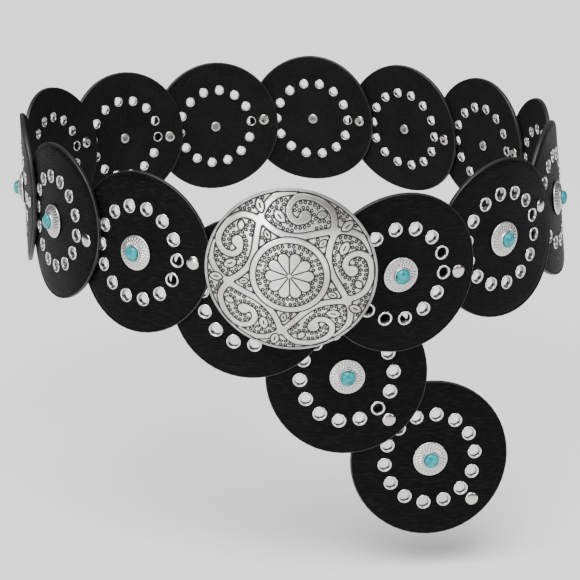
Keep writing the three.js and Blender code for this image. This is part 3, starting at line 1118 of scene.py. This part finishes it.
def buckle_frame():
    """The buckle's axes and the middle of its rim plane."""
    side, tip = math.sin(BUCKLE_TURN), math.sin(BUCKLE_LEAN)
    front, rise = math.cos(BUCKLE_TURN), math.cos(BUCKLE_LEAN)
    axes = np.array(
        [
            [front, side * tip, -side * rise],
            [-side, front * tip, -front * rise],
            [0, rise, tip],
        ]
    )
    stud = on_disc(0, *rivet_place(0, -1), FACE)
    hook = on_disc(HOOKED, *eyelet_place(HOOKED, HOOK_EYELET), FACE)
    centre = (stud + hook) / 2 + np.array([BUCKLE_SHIFT, 0, BUCKLE_LIFT])
    turns = np.radians(np.arange(0, 360, 10))
    reach = -np.inf
    for k in (0, HOOKED - 1, HOOKED, HOOKED + 1):
        away = on_disc(k, DISC_R * np.cos(turns), DISC_R * np.sin(turns), FACE) - centre
        out = away @ axes[:, 2]
        aside = np.linalg.norm(away - out[:, None] * axes[:, 2], axis=1)
        reach = max(reach, out[aside < BUCKLE_R + LEATHER].max())
    return axes, centre + axes[:, 2] * (reach + BUCKLE_CLEARANCE)


def dome_height(radius):
    share = np.minimum(radius / DOME_EDGE, 1)
    return BUCKLE_SHEET + BUCKLE_DOME * (1 - share * share)


BUCKLE_AXES, BUCKLE_MIDDLE = buckle_frame()
print("buckle at", np.round(BUCKLE_MIDDLE, 2))

# %% The engraved face
NET_STEP = 0.28
NET_CELLS = 880
NET_HALVINGS = 4
CUT_DEPTH = 0.24
# Painted shade on the rim and towards the edge of the dome, kept with the cuts.
RIM_PAINTED_SHADE = 0.16
SLOPE_PAINTED_SHADE = 0.12


def ringed_net():
    """Rings of nearly even cells, whose count doubles as the rings get longer."""
    rows = max(round(BUCKLE_R / NET_STEP), 2)
    spots = [np.zeros((1, 2))]
    faces = []
    first, count = 0, 1
    for row in range(1, rows + 1):
        radius = BUCKLE_R * row / rows
        halvings = min(int(math.log2(rows / row)), NET_HALVINGS)
        before, had, first = first, count, first + count
        count = NET_CELLS >> halvings
        turns = np.arange(count) * 2 * math.pi / count
        spots.append(radius * np.stack([np.cos(turns), np.sin(turns)], -1))
        split = count // had
        for i in range(had):
            outer = [first + (i * split + j) % count for j in range(split, -1, -1)]
            if had > 1:
                faces.append((before + i, *outer[::-1], before + (i + 1) % had))
            else:
                faces += [(before, first + j, first + (j + 1) % count) for j in range(count)]
    return np.concatenate(spots), faces


def engraved_face():
    spots, faces = ringed_net()
    radius = np.hypot(*spots.T)
    # Only the cuts at first; the painted shade is joined to them below.
    cut_and_shade = engraving(spots)
    rim = np.clip((radius - DOME_EDGE) / (BUCKLE_R - DOME_EDGE), 0, 1)
    out = dome_height(radius) - CUT_DEPTH * cut_and_shade - (BUCKLE_SHEET - BUCKLE_EDGE) * rim ** 3
    shape = placed((np.column_stack([spots, out]), faces), BUCKLE_AXES, BUCKLE_MIDDLE)
    made = piece("buckle_face", *shape, [AGED_SILVER], "aged_silver")
    # Painted shade: darker on the rim and towards the edge of the dome.
    painted_edge_shade = RIM_PAINTED_SHADE * rim + SLOPE_PAINTED_SHADE * (radius / BUCKLE_R) ** 6
    mark_cuts_and_shade(made, np.maximum(cut_and_shade, painted_edge_shade))
    return made


def aged_silver():
    finish = Finish("aged_silver", Metallic=1.0)
    cut_and_shade = finish.attribute("cut_and_shade")
    hair = finish.noise(1900.0, 3.0, 0.6, finish.stretched((0.12, 1.0, 1.0), 0.5))
    cloud = finish.noise(45.0, 4.0, 0.6)
    silver = finish.blend(cloud.between(0.32, 0.62), (0.44, 0.43, 0.415, 1), (0.82, 0.81, 0.79, 1))
    # Dark patina in the cuts, and painted shade on the rim and towards the edge of the dome.
    tarnish_and_shade = cut_and_shade.between(0.0, 0.5)
    return finish.feed(
        Base_Color=finish.blend(tarnish_and_shade, silver, (0.012, 0.011, 0.011, 1)),
        Roughness=0.18 + 0.14 * hair + 0.3 * tarnish_and_shade,
        Metallic=1.0 - 0.6 * tarnish_and_shade,
        Normal=finish.bump(hair, 0.12, 0.00006),
    )


AGED_SILVER = aged_silver()
buckle_face = engraved_face()
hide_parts("buckle")
print("engraved face:", len(buckle_face.data.polygons), "faces")


# %% The buckle's back, its stud and its hook
def reach_to_dish(axes, origin):
    """How far out along a frame's Z axis the middle of the buckle's sheet lies."""
    distance = 0.0
    for _ in range(12):
        x, y, z = (origin + distance * axes[:, 2] - BUCKLE_MIDDLE) @ BUCKLE_AXES
        distance += dome_height(math.hypot(x, y)) - BUCKLE_SHEET / 2 - z
    return distance


def dish_back():
    radii = np.linspace(0, DOME_EDGE, 15)
    inside = [(radius, float(dome_height(radius)) - BUCKLE_SHEET) for radius in radii]
    edge = [
        (BUCKLE_R - 0.3, 0.0),
        (BUCKLE_R - 0.05, 0.2),
        (BUCKLE_R, 0.45),
        (BUCKLE_R, BUCKLE_EDGE),
    ]
    return placed(turned([*inside, *edge], 96), BUCKLE_AXES, BUCKLE_MIDDLE)


def stud():
    axes, origin = frame_on_disc(0, *rivet_place(0, -1))
    back = -FACE - SEAT_GAP
    front = reach_to_dish(axes, origin)
    profile = [
        (0, back - RIVET_HEAD_H),
        (STUD_HEAD_R - 0.5, back - RIVET_HEAD_H + 0.1),
        (STUD_HEAD_R, back - 0.5),
        (STUD_HEAD_R - 0.1, back),
        (STUD_R, back),
        (STUD_R, front),
        (0, front),
    ]
    return placed(turned(profile, 32), axes, origin)


def hook():
    """A round wire that goes through an eyelet and turns aside behind it."""
    axes, origin = frame_on_disc(HOOKED, *eyelet_place(HOOKED, HOOK_EYELET))
    depth = -FACE - SEAT_GAP - HOLE_PLAY - HOOK_R
    path = [((0, reach_to_dish(axes, origin)), 0)]
    for turn in np.radians(np.arange(0, 91, 15)):
        out = depth + HOOK_BEND * (1 - math.sin(turn))
        path.append(((HOOK_BEND * (1 - math.cos(turn)), out), turn))
    path.append(((HOOK_REACH - HOOK_POINT, depth), math.pi / 2))
    rings = []
    for (aside, out), turn in path:
        for angle in np.arange(WIRE_SIDES) * 2 * math.pi / WIRE_SIDES:
            spread = HOOK_R * math.cos(angle)
            rings.append(
                (
                    -aside - spread * math.cos(turn),
                    HOOK_R * math.sin(angle),
                    out + spread * math.sin(turn),
                )
            )
    rings.append((-HOOK_REACH, 0, depth))
    faces = net_faces(len(path), WIRE_SIDES)
    end = (len(path) - 1) * WIRE_SIDES
    faces += [
        (end + i, end + (i + 1) % WIRE_SIDES, len(rings) - 1) for i in range(WIRE_SIDES)
    ]
    return placed((np.array(rings), faces), axes, origin)


back_shapes = joined([dish_back(), stud(), hook()])
buckle_back = piece("buckle_back", *back_shapes, [AGED_SILVER], "aged_silver")
print("buckle back:", len(buckle_back.data.polygons), "faces")

# %% [markdown]
# ## Floor and light
#
# The photograph is a bright studio picture on white. A pale floor lies below the tail, one wide
# light shines from high in front, and two small soft ones stand in front on the left and on the
# right, where the domes show them as highlights. Polished metal also needs something dark to
# show, or it looks like plain grey plastic. Product photographers stand black cards just outside
# the picture for that. Two cards stand here, and only reflections see them.

# %% Floor and cards
FLOOR_Z = PLAIN_BOX[0][2] - 0.02
FLOOR_SIDE = 6.0
CARD_ASIDE = 1.6
CARD_NEAR, CARD_FAR = -3.6, 2.4
CARD_LOW, CARD_HIGH = FLOOR_Z + 0.02, 1.6


def sheet(name, corners, finish, speckle, dark, pale):
    """A flat sheet of the studio, which is not part of the belt."""
    mesh = bpy.data.meshes.new(name)
    mesh.from_pydata(corners, [], [(0, 1, 2, 3)])
    shade = finish.blend(finish.noise(speckle), grey(dark), grey(pale))
    mesh.materials.append(finish.feed(Base_Color=shade))
    made = bpy.data.objects.new(name, mesh)
    bpy.context.collection.objects.link(made)
    return made


def floor():
    signs = ((-1, -1), (1, -1), (1, 1), (-1, 1))
    corners = [(FLOOR_SIDE * x, FLOOR_SIDE * y, FLOOR_Z) for x, y in signs]
    sheet("floor", corners, Finish("floor", Roughness=0.9), 3.0, 0.93, 0.95)


def dark_card(name, aside):
    """A black card beside the belt that only polished surfaces see, as their dark edges."""
    corners = [
        (aside, CARD_NEAR, CARD_LOW),
        (aside, CARD_FAR, CARD_LOW),
        (aside, CARD_FAR, CARD_HIGH),
        (aside, CARD_NEAR, CARD_HIGH),
    ]
    finish = Finish(name, Roughness=1.0, Specular_IOR_Level=0.0)
    card = sheet(name, corners, finish, 400.0, 0.01, 0.02)
    card.visible_camera = False
    card.visible_diffuse = False
    card.visible_shadow = False


floor()
dark_card("left_card", -CARD_ASIDE)
dark_card("right_card", CARD_ASIDE)
print("floor at", round(FLOOR_Z, 3))

# %% Light
ROOM_LIGHT = 0.34
BACKDROP_LIGHT = 1.25
SUN_LIGHT = 5.0
SUN_WIDTH = math.radians(50)
SUN_TURN = (math.radians(28), math.radians(-12), 0)
AIM = Vector((0, 0, 0))


def surroundings():
    """A dim white room, which the camera itself sees as bright as the floor."""
    world = bpy.data.worlds.new("studio")
    world.use_nodes = True
    nodes, links = world.node_tree.nodes, world.node_tree.links
    room = nodes["Background"]
    backdrop = nodes.new("ShaderNodeBackground")
    for part, strength in ((room, ROOM_LIGHT), (backdrop, BACKDROP_LIGHT)):
        part.inputs["Color"].default_value = grey(1.0)
        part.inputs["Strength"].default_value = strength
    choice = nodes.new("ShaderNodeMixShader")
    ray = nodes.new("ShaderNodeLightPath")
    links.new(ray.outputs["Is Camera Ray"], choice.inputs[0])
    links.new(room.outputs[0], choice.inputs[1])
    links.new(backdrop.outputs[0], choice.inputs[2])
    links.new(choice.outputs[0], nodes["World Output"].inputs["Surface"])
    bpy.context.scene.world = world


def wide_light():
    """One soft light from high in front, the same all over the floor."""
    lamp = bpy.data.lights.new("wide_light", "SUN")
    lamp.energy = SUN_LIGHT
    lamp.angle = SUN_WIDTH
    made = bpy.data.objects.new("wide_light", lamp)
    made.rotation_euler = SUN_TURN
    bpy.context.collection.objects.link(made)


def soft_light(name, place, size, power):
    lamp = bpy.data.lights.new(name, "AREA")
    lamp.shape = "SQUARE"
    lamp.size = size
    lamp.energy = power
    made = bpy.data.objects.new(name, lamp)
    made.location = place
    made.rotation_euler = (AIM - Vector(place)).to_track_quat("-Z", "Y").to_euler()
    made.visible_camera = False
    bpy.context.collection.objects.link(made)


surroundings()
wide_light()
soft_light("left_light", (-0.62, -1.3, 0.14), 0.42, 6)
soft_light("right_light", (1.3, -0.9, 0.7), 0.5, 6)
print("lights:", len(bpy.data.lights))
